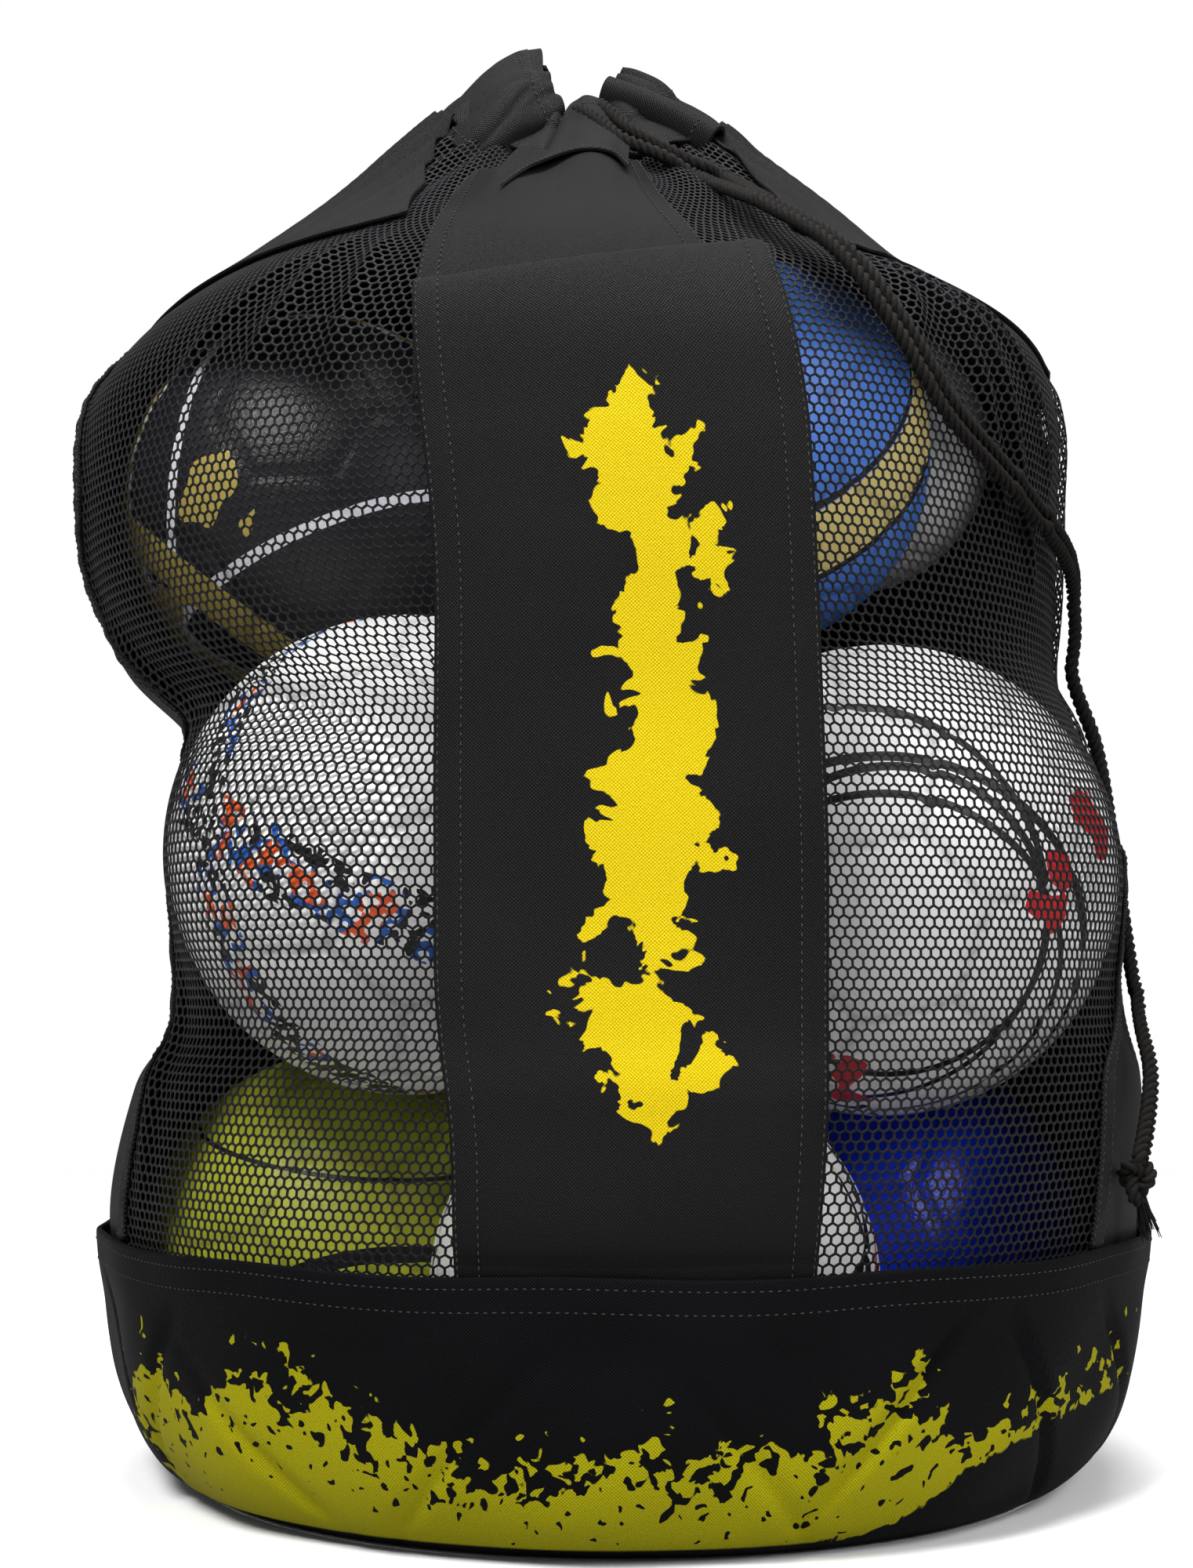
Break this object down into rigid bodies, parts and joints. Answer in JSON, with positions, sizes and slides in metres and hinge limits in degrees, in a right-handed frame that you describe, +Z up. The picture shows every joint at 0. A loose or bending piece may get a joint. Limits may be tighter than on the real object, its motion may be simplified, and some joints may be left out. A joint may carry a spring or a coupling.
{
  "type": "drawstring ball bag",
  "caption": "Drawstring ball bag with a mesh front, solid back and base and a wide carrying strap, standing loaded with its mouth drawn shut.",
  "frame": {"origin": "centre of the base, on the floor", "axes": "+Z up, the carrying strap runs down the front towards -Y, +X is to the right seen from the front, where the cord hangs"},
  "size_m": [0.5199, 0.5133, 0.6947],
  "materials": {
    "black_polyester": "matte, woven",
    "black_mesh": "matte, knitted",
    "black_tape": "matte",
    "braided_cord": "matte, twisted"
  },
  "bodies": {
    "bag": {"base_disc": "black_polyester", "base_band": "black_polyester", "base_seam_binding": "black_tape", "mesh_front": "black_mesh", "back_panel": "black_polyester", "side_binding_left": "black_polyester", "side_binding_right": "black_polyester", "mesh_shoulder_front": "black_mesh", "panel_shoulder_back": "black_polyester", "collar_front": "black_polyester", "collar_back": "black_polyester", "channel_cord_front": "braided_cord", "channel_cord_back": "braided_cord", "cord_run_a": "braided_cord", "cord_run_b": "braided_cord", "strap_foot": "black_polyester", "strap_top": "black_polyester"},
    "mouth_left": {"mesh_shoulder_left": "black_mesh", "panel_shoulder_left": "black_polyester", "collar_left": "black_polyester", "channel_cord_left": "braided_cord"},
    "mouth_right": {"mesh_shoulder_right": "black_mesh", "panel_shoulder_right": "black_polyester", "collar_right": "black_polyester", "channel_cord_right": "braided_cord"},
    "strap": {"strap_body": "black_polyester", "strap_fold": "black_polyester"},
    "cord_tail": {"cord_tail_a": "braided_cord", "cord_tail_b": "braided_cord", "cord_knot": "braided_cord"}
  },
  "joints": [
    {"name": "open_left", "type": "hinge", "parent": "bag", "child": "mouth_left", "pos_m": [-0.2415, 0, 0.5415], "axis": [0, -1, 0], "range_deg": [0, 50]},
    {"name": "open_right", "type": "hinge", "parent": "bag", "child": "mouth_right", "pos_m": [0.2015, 0, 0.5415], "axis": [0, 1, 0], "range_deg": [0, 50]},
    {"name": "strap_pull", "type": "slide", "parent": "bag", "child": "strap", "axis": [0, -1, 0], "range_m": [0, 0.1]},
    {"name": "cord_swing", "type": "hinge", "parent": "bag", "child": "cord_tail", "pos_m": [0.2063, -0.081, 0.428], "axis": [-0.276, -0.9611, 0], "range_deg": [0, 60]}
  ]
}
